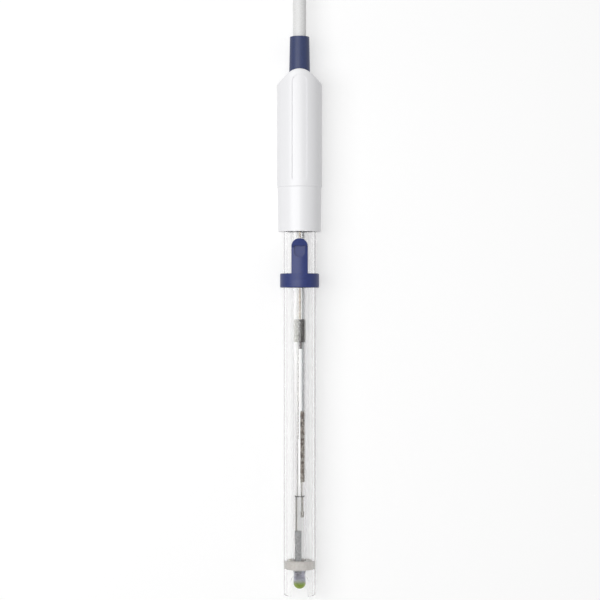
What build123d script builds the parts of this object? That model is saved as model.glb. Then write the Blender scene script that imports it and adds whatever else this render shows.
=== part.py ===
"""A combination pH electrode: a clear plastic shaft with a glass stem, a white head and a fixed cable.

The electrode lies along Y, its tip towards -Y and its cable towards +Y, with its front facing +Z.
Places along it are given as the distance from the tip, and all sizes are in millimetres.
"""

from build123d import *
import os
from math import cos, pi, radians, sin, tan

os.makedirs("parts", exist_ok=True)

# Driving sizes: the shaft and its guard
shaft_diameter = 12.0
shaft_wall = 1.0
shaft_shown_length = 138.2
shaft_in_head = 14.0
guard_slot_width = 6.4
guard_slot_depth = 8.8
guard_end_rounding = 0.35
refill_hole_diameter = 3.0
refill_hole_below_head = 6.6

# The head
cap_diameter = 17.2
cap_length = 44.4
cap_edge_bevel = 0.3
roof_radius = 6.5
roof_slope = 41.0
roof_edge_rounding = 0.5
panel_width = 5.8
panel_depth = 0.35
panel_end_margin = 2.4
panel_top_margin = 2.2
panel_corner = 1.0
collar_step = 0.3
collar_draft = 0.2
collar_shown_length = 16.7
collar_spigot_length = 5.0
spigot_relief = 0.3

# The strain relief and the cable
relief_top_diameter = 7.4
relief_bottom_diameter = 8.0
relief_shown_length = 13.0
relief_flange_diameter = 11.0
relief_flange_thickness = 2.0
relief_edge_rounding = 0.9
cable_diameter = 5.0

# The refill cover
cover_bore_clearance = 0.05
cover_ring_diameter = 14.9
cover_ring_length = 5.4
cover_ring_below_head = 21.3
cover_edge_rounding = 0.4
tab_width = 6.2
tab_length = 13.2
tab_thickness = 1.6
tab_lip_height = 0.75
tab_lip_length = 2.8
nail_pocket_width = 4.2
nail_pocket_length = 4.4
nail_pocket_depth = 0.9

# The glass
stem_diameter = 4.8
stem_wall = 0.4
stem_bottom = 8.9
stem_in_head = 17.0
bulb_diameter = 4.7
bulb_wall = 0.35
bulb_centre_place = 4.55

# Pieces inside the stem, at their distance from the axis towards +X
bronze_diameter = 0.6
bronze_offset = 0.15
bronze_end = 100.0
capillary_diameter = 1.0
capillary_offset = 1.4
element_diameter = 1.7
element_offset = 1.1
element_bottom = 42.9
element_length = 27.0
sleeve_diameter = 2.2
sleeve_offset = 0.88
sleeve_foot_diameter = 1.3
sleeve_foot_length = 2.6
stopper_bottom = 96.2
stopper_length = 8.6
lead_off_diameter = 0.6
lead_off_offset = 0.75
lead_off_bottom = 29.5
lead_off_tip_diameter = 1.0
lead_off_tip_length = 2.2
capsule_diameter = 2.3
capsule_offset = -0.62
capsule_bottom = 5.4
capsule_length = 19.0
sensor_lead_diameter = 0.24
sensor_lead_offset = -0.9
sensor_lead_spacing = 1.4

# Seals, and the pieces of the outer chamber
seal_bottom = 9.9
seal_thickness = 3.2
junction_diameter = 1.0
junction_length = 4.2
junction_offset = -3.6
reference_wire_diameter = 0.4
reference_wire_offset = -0.4
reference_wire_depth = -3.3
reference_wire_end = 58.8
plug_place_in_head = 3.0
plug_thickness = 6.0

# Joints of wires and cores inside the head
ferrule_diameter = 1.2
ferrule_length = 5.0
ferrule_inset = 2.0
potting_thickness = 25.0
core_length = 16.0
core_diameter = 0.9

# The hank of cable, its tie and its splitter
cable_route = [(0.0, 121.0), (-3.0, 140.0), (-6.0, 160.0)]
cable_route_heights = [8.6, 4.6, 3.3]
hank_start = 152.0
hank_run = 100.0
hank_fold_radius = 15.0
hank_layers = 3
hank_centre_x = 9.0
hank_top_run_end = 225.0
tail_x = 8.0
tail_bend_place = 236.0
tie_thickness = 0.8
tie_width = 12.0
tie_clearance = 0.05
splitter_length = 24.0
splitter_width = 12.0
splitter_height = 6.5
splitter_rounding = 1.6
splitter_place = 249.0
leg_diameter = 3.0
leg_spacing = 5.0
ph_leg_route = [(6.5, 282.0, 19.05), (4.9, 291.0, 15.6), (2.0, 299.0, 9.4), (1.0, 306.0, 7.25)]
sensor_leg_route = [
    (11.5, 282.0, 19.05),
    (13.3, 291.0, 15.0),
    (17.2, 299.0, 8.0),
    (19.0, 306.6, 5.0),
]

# The bayonet plug
plug_line = 312.0
leg_seat = 6.0
bayonet_x = 1.0
boot_length = 20.0
boot_end_diameter = 5.0
body_diameter = 10.5
body_length = 6.3
body_bore_diameter = 3.0
neck_diameter = 8.6
neck_length = 2.8
snap_ring_diameter = 9.56
snap_ring_length = 1.2
contact_sleeve_diameter = 8.0
contact_sleeve_wall = 0.4
contact_sleeve_length = 8.0
contact_sleeve_slits = 4
contact_slit_width = 0.5
insulator_length = 3.0
core_wire_diameter = 0.9
core_wire_end = 24.0
collar_nut_diameter = 14.5
collar_barrel_diameter = 12.2
collar_nut_bore = 9.7
collar_nut_length = 13.2
collar_grip_length = 6.0
collar_lip_length = 2.2
collar_running_clearance = 0.05
collar_ribs = 24
collar_rib_gap = 0.9
collar_rib_depth = 0.35
collar_axial_play = 0.3
lug_slot_width = 2.2
lug_slot_turn = 75.0
lug_slot_place = 4.6
contact_pin_diameter = 1.35
contact_pin_length = 14.0

# The phono plug
phono_x = 19.0
phono_boot_length = 10.0
phono_boot_end_diameter = 4.6
phono_shell_diameter = 10.0
phono_grip_length = 16.0
phono_grip_groove_depth = 0.4
phono_grip_grooves = 5
phono_ring_diameter = 9.4
phono_ring_wall = 0.5
phono_ring_length = 8.0
phono_ring_slits = 4
phono_slit_width = 0.8
phono_ring_base = 1.0
phono_shank_diameter = 8.0
phono_shank_length = 12.0
phono_shank_bore = 6.0
phono_insulator_length = 2.0
phono_pin_start = 18.0
phono_pin_diameter = 3.2
phono_pin_shank_diameter = 2.4
phono_pin_stand_out = 15.0

# Places worked out from those sizes
shaft_radius = shaft_diameter / 2
bore_radius = shaft_radius - shaft_wall
stem_radius = stem_diameter / 2
stem_bore_radius = stem_radius - stem_wall
cap_radius = cap_diameter / 2
cap_wall = (cap_radius - shaft_radius) / 2
collar_top_radius = cap_radius - collar_step
collar_bottom_radius = collar_top_radius - collar_draft
collar_edge_rounding = (collar_bottom_radius - shaft_radius) / 3
cap_place = shaft_shown_length + collar_shown_length
roof_place = cap_place + cap_length
relief_end = roof_place + relief_shown_length
half_length = relief_end / 2
axis_height = cap_radius
tip_y = -half_length
shaft_end = shaft_shown_length + shaft_in_head
refill_hole_place = shaft_shown_length - refill_hole_below_head
cover_ring_place = shaft_shown_length - cover_ring_below_head
stem_end = shaft_shown_length + stem_in_head
spigot_radius = cap_radius - cap_wall
spigot_end = cap_place + collar_spigot_length
potting_place = spigot_end
ferrule_place = potting_place + ferrule_inset
core_place = ferrule_place + ferrule_length
cable_end = core_place + core_length
potting_end = potting_place + potting_thickness
flange_place = potting_end

# The side profile runs from the tip along x, with the radius along y
profile = Plane(origin=(0, tip_y, axis_height), x_dir=(0, 1, 0), z_dir=(1, 0, 0))
spindle = Axis((0, tip_y, axis_height), (0, 1, 0))


def station(place):
    """The plane across the electrode at a distance from the tip; x stays X and y points down."""
    return Plane(origin=(0, tip_y + place, axis_height), x_dir=(1, 0, 0), z_dir=(0, 1, 0))


def across(place, x=0.0, height=0.0, z_dir=(0, 1, 0)):
    """A plane across a line beside the axis, x to the right of it and height above it."""
    return Plane(origin=(x, tip_y + place, axis_height + height), x_dir=(1, 0, 0), z_dir=z_dir)


# The shaft: a tube that ends in the two fingers of the bulb guard
with BuildPart() as shaft_tube:
    with BuildSketch(station(0)):
        Circle(shaft_radius)
        Circle(bore_radius, mode=Mode.SUBTRACT)
    extrude(amount=shaft_end)
    tip_rims = shaft_tube.faces().sort_by(Axis.Y)[0].edges()
    fillet(tip_rims, guard_end_rounding)
    with BuildSketch(Plane.XY.offset(axis_height)):
        with Locations((0, tip_y)):
            Rectangle(
                guard_slot_width,
                2 * (guard_slot_depth - guard_slot_width / 2),
            )
        with Locations((0, tip_y + guard_slot_depth - guard_slot_width / 2)):
            Circle(guard_slot_width / 2)
    extrude(amount=shaft_diameter, both=True, mode=Mode.SUBTRACT)
    with BuildSketch(Plane.XY.offset(axis_height)):
        with Locations((0, tip_y + refill_hole_place)):
            Circle(refill_hole_diameter / 2)
    extrude(amount=shaft_diameter, mode=Mode.SUBTRACT)
shaft_tube.part.label = "shaft_tube"
export_step(shaft_tube.part, "parts/shaft_tube.step")

# The beige sealing disc, with holes for the stem and the ceramic junction
with BuildPart() as bottom_seal:
    with BuildSketch(station(seal_bottom)):
        Circle(bore_radius)
        Circle(stem_radius, mode=Mode.SUBTRACT)
        with Locations((junction_offset, 0)):
            Circle(junction_diameter / 2, mode=Mode.SUBTRACT)
    extrude(amount=seal_thickness)
bottom_seal.part.label = "bottom_seal"
export_step(bottom_seal.part, "parts/bottom_seal.step")

# The porous pin that joins the outer chamber to the sample
junction_place = seal_bottom + (seal_thickness - junction_length) / 2
with BuildPart() as ceramic_junction:
    with BuildSketch(across(junction_place, junction_offset)):
        Circle(junction_diameter / 2)
    extrude(amount=junction_length)
ceramic_junction.part.label = "ceramic_junction"
export_step(ceramic_junction.part, "parts/ceramic_junction.step")

# The inner glass tube
with BuildPart() as glass_stem:
    with BuildSketch(station(stem_bottom)):
        Circle(stem_radius)
        Circle(stem_bore_radius, mode=Mode.SUBTRACT)
    extrude(amount=stem_end - stem_bottom)
glass_stem.part.label = "glass_stem"
export_step(glass_stem.part, "parts/glass_stem.step")

# The blown membrane bulb: a round end that draws in to the stem
bulb_radius = bulb_diameter / 2
bulb_inside = bulb_radius - bulb_wall
with BuildPart() as membrane_bulb:
    with BuildSketch(profile):
        with BuildLine():
            Line((bulb_centre_place - bulb_radius, 0), (bulb_centre_place - bulb_inside, 0))
            ThreePointArc(
                (bulb_centre_place - bulb_inside, 0),
                (bulb_centre_place - bulb_inside * sin(pi / 4), bulb_inside * cos(pi / 4)),
                (bulb_centre_place, bulb_inside),
            )
            Spline(
                (bulb_centre_place, bulb_inside),
                (stem_bottom, stem_bore_radius - 0.05),
                tangents=((1, 0), (1, 0.02)),
            )
            Line((stem_bottom, stem_bore_radius - 0.05), (stem_bottom, stem_radius - 0.15))
            Spline(
                (stem_bottom, stem_radius - 0.15),
                (bulb_centre_place, bulb_radius),
                tangents=((-1, -0.02), (-1, 0)),
            )
            ThreePointArc(
                (bulb_centre_place, bulb_radius),
                (bulb_centre_place - bulb_radius * sin(pi / 4), bulb_radius * cos(pi / 4)),
                (bulb_centre_place - bulb_radius, 0),
            )
        make_face()
    revolve(axis=spindle)
membrane_bulb.part.label = "membrane_bulb"
export_step(membrane_bulb.part, "parts/membrane_bulb.step")

# The temperature sensor beside the bulb, a round-ended capsule, and its two wires
capsule_end = capsule_bottom + capsule_length
with BuildPart() as sensor_capsule:
    with BuildSketch(across(capsule_bottom, capsule_offset)):
        Circle(capsule_diameter / 2)
    extrude(amount=capsule_length)
    fillet(sensor_capsule.edges().sort_by(Axis.Y)[0], 0.45 * capsule_diameter)
sensor_capsule.part.label = "sensor_capsule"
export_step(sensor_capsule.part, "parts/sensor_capsule.step")

with BuildPart() as sensor_leads:
    for side in (-1, 1):
        lead_plane = across(capsule_end, sensor_lead_offset, side * sensor_lead_spacing / 2)
        with BuildSketch(lead_plane):
            Circle(sensor_lead_diameter / 2)
        extrude(amount=ferrule_place - capsule_end)
sensor_leads.part.label = "sensor_leads"
export_step(sensor_leads.part, "parts/sensor_leads.step")

# The silver rod that dips into the inner buffer, thicker at its coated end
lead_off_tip_end = lead_off_bottom + lead_off_tip_length
with BuildPart() as silver_lead_off:
    with BuildSketch(across(lead_off_bottom, lead_off_offset)):
        Circle(lead_off_tip_diameter / 2)
    extrude(amount=lead_off_tip_length)
    fillet(silver_lead_off.edges().sort_by(Axis.Y)[0], 0.3 * lead_off_tip_diameter)
    with BuildSketch(across(lead_off_tip_end, lead_off_offset)):
        Circle(lead_off_diameter / 2)
    extrude(amount=element_bottom - lead_off_tip_end)
silver_lead_off.part.label = "silver_lead_off"
export_step(silver_lead_off.part, "parts/silver_lead_off.step")

# The speckled reference element and the fine tube above it
element_end = element_bottom + element_length
with BuildPart() as reference_element:
    with BuildSketch(across(element_bottom, element_offset)):
        Circle(element_diameter / 2)
    extrude(amount=element_length)
    fillet(reference_element.edges().filter_by(GeomType.CIRCLE), 0.25)
reference_element.part.label = "reference_element"
export_step(reference_element.part, "parts/reference_element.step")

with BuildPart() as capillary_tube:
    with BuildSketch(across(element_end, capillary_offset)):
        Circle(capillary_diameter / 2)
        Circle(capillary_diameter / 4, mode=Mode.SUBTRACT)
    extrude(amount=stem_end - element_end)
capillary_tube.part.label = "capillary_tube"
export_step(capillary_tube.part, "parts/capillary_tube.step")

# The black sleeve over the end of the bronze lead, with its narrower foot
stopper_end = stopper_bottom + stopper_length
with BuildPart() as black_sleeve:
    with BuildSketch(across(stopper_bottom, sleeve_offset)):
        Circle(sleeve_diameter / 2)
    extrude(amount=stopper_length)
    with BuildSketch(across(stopper_bottom - sleeve_foot_length, bronze_offset)):
        Circle(sleeve_foot_diameter / 2)
    extrude(amount=sleeve_foot_length)
    with BuildSketch(across(stopper_bottom - sleeve_foot_length, capillary_offset)):
        Circle(capillary_diameter / 2)
    extrude(amount=sleeve_foot_length + stopper_length, mode=Mode.SUBTRACT)
    with BuildSketch(across(bronze_end, bronze_offset)):
        Circle(bronze_diameter / 2)
    extrude(amount=stopper_end - bronze_end, mode=Mode.SUBTRACT)
black_sleeve.part.label = "black_sleeve"
export_step(black_sleeve.part, "parts/black_sleeve.step")

with BuildPart() as silicone_stopper:
    with BuildSketch(station(stopper_bottom)):
        Circle(stem_bore_radius)
        with Locations((sleeve_offset, 0)):
            Circle(sleeve_diameter / 2, mode=Mode.SUBTRACT)
        with Locations(
            (sensor_lead_offset, sensor_lead_spacing / 2),
            (sensor_lead_offset, -sensor_lead_spacing / 2),
        ):
            Circle(sensor_lead_diameter / 2, mode=Mode.SUBTRACT)
    extrude(amount=stopper_length)
silicone_stopper.part.label = "silicone_stopper"
export_step(silicone_stopper.part, "parts/silicone_stopper.step")

with BuildPart() as bronze_lead:
    with BuildSketch(across(bronze_end, bronze_offset)):
        Circle(bronze_diameter / 2)
    extrude(amount=ferrule_place - bronze_end)
bronze_lead.part.label = "bronze_lead"
export_step(bronze_lead.part, "parts/bronze_lead.step")

# The chloride-coated wire of the outer chamber, behind the stem
with BuildPart() as reference_wire:
    with BuildSketch(across(reference_wire_end, reference_wire_offset, reference_wire_depth)):
        Circle(reference_wire_diameter / 2)
    extrude(amount=ferrule_place - reference_wire_end)
reference_wire.part.label = "reference_wire"
export_step(reference_wire.part, "parts/reference_wire.step")

# The rubber plug that closes the shaft inside the head
plug_place = shaft_shown_length + plug_place_in_head
with BuildPart() as chamber_plug:
    with BuildSketch(station(plug_place)):
        Circle(bore_radius)
        Circle(stem_radius, mode=Mode.SUBTRACT)
        with Locations((reference_wire_offset, -reference_wire_depth)):
            Circle(reference_wire_diameter / 2, mode=Mode.SUBTRACT)
    extrude(amount=plug_thickness)
chamber_plug.part.label = "chamber_plug"
export_step(chamber_plug.part, "parts/chamber_plug.step")

# The lower sleeve of the head, with a spigot that the cap fits over
with BuildPart() as head_collar:
    with BuildSketch(profile):
        with BuildLine():
            Polyline(
                (shaft_shown_length, shaft_radius),
                (shaft_shown_length, collar_bottom_radius),
                (cap_place, collar_top_radius),
                (cap_place, spigot_radius),
                (spigot_end, spigot_radius),
                (spigot_end, shaft_radius),
                close=True,
            )
        make_face()
        fillet(
            vertices().group_by(Axis.Y)[0].sort_by(Axis.Z)[-1],
            collar_edge_rounding,
        )
    revolve(axis=spindle)
    with BuildSketch(station(shaft_end)):
        Circle(shaft_radius + spigot_relief)
    extrude(amount=spigot_end - shaft_end, mode=Mode.SUBTRACT)
head_collar.part.label = "head_collar"
export_step(head_collar.part, "parts/head_collar.step")

# The cap of the head: a round body cut to a roof with a rounded ridge that runs front to back
ridge_half_width = roof_radius * sin(radians(roof_slope))
ridge_drop = roof_radius * (1 - cos(radians(roof_slope)))
eaves_drop = ridge_drop + (cap_radius - ridge_half_width) * tan(radians(roof_slope))
panel_bottom = cap_place + panel_end_margin
panel_top = roof_place - panel_top_margin
with BuildPart() as panel_cutter:
    with BuildSketch(Plane.XY.offset(axis_height)):
        with BuildLine():
            Line(
                (panel_width / 2, tip_y + panel_top - panel_width / 2),
                (panel_width / 2, tip_y + panel_bottom),
            )
            Line(
                (panel_width / 2, tip_y + panel_bottom),
                (-panel_width / 2, tip_y + panel_bottom),
            )
            Line(
                (-panel_width / 2, tip_y + panel_bottom),
                (-panel_width / 2, tip_y + panel_top - panel_width / 2),
            )
            ThreePointArc(
                (-panel_width / 2, tip_y + panel_top - panel_width / 2),
                (0, tip_y + panel_top),
                (panel_width / 2, tip_y + panel_top - panel_width / 2),
            )
        make_face()
        fillet(vertices().group_by(Axis.Y)[0], panel_corner)
    extrude(amount=cap_diameter)
    with BuildSketch(station(cap_place)):
        Circle(cap_radius - panel_depth)
    extrude(amount=cap_length, mode=Mode.SUBTRACT)

with BuildPart() as head_cap:
    with BuildSketch(station(cap_place)):
        Circle(cap_radius)
    extrude(amount=cap_length)
    chamfer(head_cap.edges().sort_by(Axis.Y)[0], cap_edge_bevel)
    with BuildSketch(Plane.XY.offset(axis_height)):
        with BuildLine():
            Line((-cap_radius, tip_y + cap_place), (cap_radius, tip_y + cap_place))
            Line(
                (cap_radius, tip_y + cap_place),
                (cap_radius, tip_y + roof_place - eaves_drop),
            )
            Line(
                (cap_radius, tip_y + roof_place - eaves_drop),
                (ridge_half_width, tip_y + roof_place - ridge_drop),
            )
            ThreePointArc(
                (ridge_half_width, tip_y + roof_place - ridge_drop),
                (0, tip_y + roof_place),
                (-ridge_half_width, tip_y + roof_place - ridge_drop),
            )
            Line(
                (-ridge_half_width, tip_y + roof_place - ridge_drop),
                (-cap_radius, tip_y + roof_place - eaves_drop),
            )
            Line(
                (-cap_radius, tip_y + roof_place - eaves_drop),
                (-cap_radius, tip_y + cap_place),
            )
        make_face()
    extrude(amount=cap_diameter, both=True, mode=Mode.INTERSECT)
    roof_rims = head_cap.edges().filter_by(
        lambda edge: edge.center().Y > tip_y + roof_place - eaves_drop - 0.5
        and abs(edge.center().Z - axis_height) > 0.5
    )
    fillet(roof_rims, roof_edge_rounding)
    add(panel_cutter.part, mode=Mode.SUBTRACT)
    with BuildSketch(station(cap_place)):
        Circle(spigot_radius)
    extrude(amount=flange_place + relief_flange_thickness - cap_place, mode=Mode.SUBTRACT)
    with BuildSketch(station(flange_place)):
        Circle(relief_bottom_diameter / 2)
    extrude(amount=relief_end - flange_place, mode=Mode.SUBTRACT)
head_cap.part.label = "head_cap"
export_step(head_cap.part, "parts/head_cap.step")

# The tapered sleeve on the cable, held in the cap by its flange
cable_radius = cable_diameter / 2
relief_bottom_radius = relief_bottom_diameter / 2
taper_place = roof_place - relief_flange_thickness
with BuildPart() as strain_relief:
    with BuildSketch(profile):
        with BuildLine():
            Polyline(
                (flange_place, cable_radius),
                (flange_place, relief_flange_diameter / 2),
                (flange_place + relief_flange_thickness, relief_flange_diameter / 2),
                (flange_place + relief_flange_thickness, relief_bottom_radius),
                (taper_place, relief_bottom_radius),
                (relief_end, relief_top_diameter / 2),
                (relief_end, cable_radius),
                close=True,
            )
        make_face()
        fillet(
            vertices().group_by(Axis.Y)[-1].sort_by(Axis.Z)[-1],
            relief_edge_rounding,
        )
    revolve(axis=spindle)
strain_relief.part.label = "strain_relief"
export_step(strain_relief.part, "parts/strain_relief.step")

# The joints of the wires with the cores of the cable, in their block of resin
wire_places = [
    (bronze_offset, 0),
    (reference_wire_offset, -reference_wire_depth),
    (sensor_lead_offset, -sensor_lead_spacing / 2),
    (sensor_lead_offset, sensor_lead_spacing / 2),
]
wire_diameters = [
    bronze_diameter,
    reference_wire_diameter,
    sensor_lead_diameter,
    sensor_lead_diameter,
]
with BuildPart() as crimp_ferrules:
    with BuildSketch(station(ferrule_place)):
        with Locations(*wire_places):
            Circle(ferrule_diameter / 2)
    extrude(amount=ferrule_length)
crimp_ferrules.part.label = "crimp_ferrules"
export_step(crimp_ferrules.part, "parts/crimp_ferrules.step")

with BuildPart() as cable_cores:
    with BuildSketch(station(core_place)):
        with Locations(*wire_places):
            Circle(core_diameter / 2)
    extrude(amount=core_length)
cable_cores.part.label = "cable_cores"
export_step(cable_cores.part, "parts/cable_cores.step")

with BuildPart() as head_potting:
    with BuildSketch(station(potting_place)):
        Circle(spigot_radius)
    extrude(amount=potting_thickness)
    for place, diameter in zip(wire_places, wire_diameters):
        with BuildSketch(station(potting_place)):
            with Locations(place):
                Circle(diameter / 2)
        extrude(amount=ferrule_inset, mode=Mode.SUBTRACT)
    add(crimp_ferrules.part, mode=Mode.SUBTRACT)
    add(cable_cores.part, mode=Mode.SUBTRACT)
    with BuildSketch(station(cable_end)):
        Circle(cable_radius)
    extrude(amount=potting_end - cable_end, mode=Mode.SUBTRACT)
head_potting.part.label = "head_potting"
export_step(head_potting.part, "parts/head_potting.step")

# The refill cover: a ring that slides on the shaft, with a thumb tab over the refill hole
cover_bore_radius = shaft_radius + cover_bore_clearance
tab_radius = cover_bore_radius + tab_thickness
ring_end = cover_ring_place + cover_ring_length
tab_end = ring_end + tab_length
lip_place = tab_end - tab_lip_length
with BuildPart() as thumb_tab:
    with BuildSketch(profile):
        with BuildLine():
            Polyline(
                (cover_ring_place + cover_edge_rounding, cover_bore_radius),
                (cover_ring_place + cover_edge_rounding, tab_radius - cover_edge_rounding),
                (ring_end, tab_radius),
                (lip_place - tab_lip_height, tab_radius),
                (lip_place, tab_radius + tab_lip_height),
                (tab_end, tab_radius - cover_edge_rounding),
                (tab_end, cover_bore_radius),
                close=True,
            )
        make_face()
    revolve(axis=spindle)
    with BuildSketch(Plane.XY.offset(axis_height)):
        with Locations((0, tip_y + (cover_ring_place + tab_end - tab_width / 2) / 2)):
            Rectangle(tab_width, tab_end - tab_width / 2 - cover_ring_place)
        with Locations((0, tip_y + tab_end - tab_width / 2)):
            Circle(tab_width / 2)
    extrude(amount=cap_diameter, mode=Mode.INTERSECT)
    with BuildSketch(Plane.XY.offset(axis_height + tab_radius - nail_pocket_depth)):
        with Locations((0, tip_y + lip_place - (nail_pocket_length - nail_pocket_width / 2) / 2)):
            Rectangle(nail_pocket_width, nail_pocket_length - nail_pocket_width / 2)
        with Locations((0, tip_y + lip_place - nail_pocket_length + nail_pocket_width / 2)):
            Circle(nail_pocket_width / 2)
    extrude(amount=cap_diameter, mode=Mode.SUBTRACT)

with BuildPart() as refill_cover:
    with BuildSketch(station(cover_ring_place)):
        Circle(cover_ring_diameter / 2)
        Circle(cover_bore_radius, mode=Mode.SUBTRACT)
    extrude(amount=cover_ring_length)
    ring_rims = refill_cover.edges().filter_by(GeomType.CIRCLE).sort_by(SortBy.RADIUS)[-2:]
    fillet(ring_rims, cover_edge_rounding)
    add(thumb_tab.part)
refill_cover.part.label = "refill_cover"
export_step(refill_cover.part, "parts/refill_cover.step")

# The rest of the cable is put away as a tied hank on the surface that the electrode lies on
fold_outer_radius = hank_fold_radius + cable_radius
hank_end = hank_start + hank_run
waist_place = hank_start + hank_run / 2
waist_half_width = cable_diameter
hank_top = tie_thickness + hank_layers * cable_diameter
top_run_height = hank_top + cable_radius


def hank_outline():
    """The plan of the hank: two round folds joined by a waist that the tie pulls in."""
    for side in (-1, 1):
        fold_x = hank_centre_x + side * fold_outer_radius
        waist_x = hank_centre_x + side * waist_half_width
        Spline(
            (fold_x, hank_start),
            (waist_x, waist_place - tie_width / 2),
            tangents=((0, 1), (0, 1)),
        )
        Line((waist_x, waist_place - tie_width / 2), (waist_x, waist_place + tie_width / 2))
        Spline(
            (waist_x, waist_place + tie_width / 2),
            (fold_x, hank_end),
            tangents=((0, 1), (0, 1)),
        )
    for place, way in ((hank_start, -1), (hank_end, 1)):
        ThreePointArc(
            (hank_centre_x - fold_outer_radius, place),
            (hank_centre_x, place + way * fold_outer_radius),
            (hank_centre_x + fold_outer_radius, place),
        )


with BuildPart() as cable_hank:
    with BuildSketch(Plane.XY.offset(tie_thickness)):
        with BuildLine():
            hank_outline()
        make_face()
    extrude(amount=hank_layers * cable_diameter)
    with BuildSketch(Plane.XY.offset(hank_top)):
        with BuildLine():
            hank_outline()
        make_face()
        with Locations((hank_centre_x, hank_top_run_end + hank_run)):
            Rectangle(4 * fold_outer_radius, 2 * hank_run, mode=Mode.SUBTRACT)
    extrude(amount=cable_diameter)
cable_hank.part.label = "cable_hank"
export_step(cable_hank.part, "parts/cable_hank.step")

# The tie round the waist of the hank
tie_inner_width = 2 * (waist_half_width + tie_clearance)
tie_inner_height = (hank_layers + 1) * cable_diameter + tie_clearance
tie_centre_height = tie_thickness + tie_inner_height / 2
with BuildPart() as hank_tie:
    with BuildSketch(
        Plane(
            origin=(hank_centre_x, waist_place - tie_width / 2, tie_centre_height),
            x_dir=(1, 0, 0),
            z_dir=(0, 1, 0),
        )
    ):
        Rectangle(tie_inner_width + 2 * tie_thickness, tie_inner_height + 2 * tie_thickness)
        Rectangle(tie_inner_width, tie_inner_height, mode=Mode.SUBTRACT)
    extrude(amount=tie_width)
hank_tie.part.label = "hank_tie"
export_step(hank_tie.part, "parts/hank_tie.step")


def bend_radii(points):
    """The radius at each corner of a route: 0.45 of its shorter run over the tangent of half the turn."""
    corners = [Vector(*point) for point in points]
    radii = []
    for before, corner, after in zip(corners, corners[1:], corners[2:]):
        run_in = corner - before
        run_out = after - corner
        half_turn = radians(run_in.get_angle(run_out)) / 2
        radii.append(0.45 * min(run_in.length, run_out.length) / tan(half_turn))
    return radii


def print_route(name, points, radii, tube, diameter):
    """Prints the radii of a tube, and its volume over its section times the length of its path."""
    runs = sum((Vector(*b) - Vector(*a)).length for a, b in zip(points, points[1:]))
    section = pi * diameter**2 / 4
    print(name, "radii", [round(r, 1) for r in radii], "runs", round(runs, 1))
    print(name, "volume", round(tube.volume, 1), "over section", round(tube.volume / section, 1))


# The cable from inside the head to the hank
lead_points = [(0.0, tip_y + cable_end, axis_height)]
lead_points += [(x, y, z) for (x, y), z in zip(cable_route, cable_route_heights)]
lead_radii = bend_radii(lead_points)
with BuildPart() as cable_lead:
    with BuildLine() as lead_path:
        FilletPolyline(*lead_points, radius=lead_radii)
    with BuildSketch(Plane(origin=lead_points[0], z_dir=(0, 1, 0))):
        Circle(cable_radius)
    sweep(path=lead_path.line)
print_route("cable_lead", lead_points, lead_radii, cable_lead.part, cable_diameter)
with BuildPart() as cable_lead_trimmed:
    add(cable_lead.part)
    add(cable_hank.part, mode=Mode.SUBTRACT)
with BuildPart() as cable_lead_end:
    add(cable_lead_trimmed.part.solids().sort_by(Axis.Y)[0])
cable_lead_end.part.label = "cable_lead"
export_step(cable_lead_end.part, "parts/cable_lead.step")

# The last stretch of the cable, over the hank to the splitter that lies on its far fold
splitter_height_place = hank_top + splitter_height / 2
tail_points = [
    (tail_x, hank_top_run_end, top_run_height),
    (tail_x, tail_bend_place, top_run_height),
    (hank_centre_x, splitter_place, splitter_height_place),
]
tail_radii = bend_radii(tail_points)
with BuildPart() as cable_tail:
    with BuildLine() as tail_path:
        FilletPolyline(*tail_points, radius=tail_radii)
    with BuildSketch(Plane(origin=tail_points[0], z_dir=(0, 1, 0))):
        Circle(cable_radius)
    sweep(path=tail_path.line)
print_route("cable_tail", tail_points, tail_radii, cable_tail.part, cable_diameter)

# The moulded splitter, where the cable parts into its two legs
with BuildPart() as cable_splitter:
    with Locations(
        (hank_centre_x, splitter_place + splitter_length / 2, splitter_height_place)
    ):
        Box(splitter_width, splitter_length, splitter_height)
    fillet(cable_splitter.edges(), splitter_rounding)
cable_splitter.part.label = "cable_splitter"
export_step(cable_splitter.part, "parts/cable_splitter.step")

with BuildPart() as cable_tail_end:
    add(cable_tail.part)
    add(cable_splitter.part, mode=Mode.SUBTRACT)
    add(cable_hank.part, mode=Mode.SUBTRACT)
cable_tail_end.part.label = "cable_tail"
export_step(cable_tail_end.part, "parts/cable_tail.step")

# The two legs, one for the electrode signal and one for the temperature sensor
leg_radius = leg_diameter / 2
splitter_end = splitter_place + splitter_length
leg_end = plug_line + leg_seat
bayonet_height = collar_nut_diameter / 2
phono_height = phono_shell_diameter / 2
ph_leg_points = [(hank_centre_x - leg_spacing / 2, splitter_end, splitter_height_place)]
ph_leg_points += ph_leg_route
ph_leg_points += [(bayonet_x, leg_end, bayonet_height)]
sensor_leg_points = [(hank_centre_x + leg_spacing / 2, splitter_end, splitter_height_place)]
sensor_leg_points += sensor_leg_route
sensor_leg_points += [(phono_x, leg_end, phono_height)]
ph_leg_radii = bend_radii(ph_leg_points)
sensor_leg_radii = bend_radii(sensor_leg_points)
with BuildPart() as ph_leg:
    with BuildLine() as ph_leg_path:
        FilletPolyline(*ph_leg_points, radius=ph_leg_radii)
    with BuildSketch(Plane(origin=ph_leg_points[0], z_dir=(0, 1, 0))):
        Circle(leg_radius)
    sweep(path=ph_leg_path.line)
print_route("ph_leg", ph_leg_points, ph_leg_radii, ph_leg.part, leg_diameter)
ph_leg.part.label = "ph_leg"
export_step(ph_leg.part, "parts/ph_leg.step")

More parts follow.
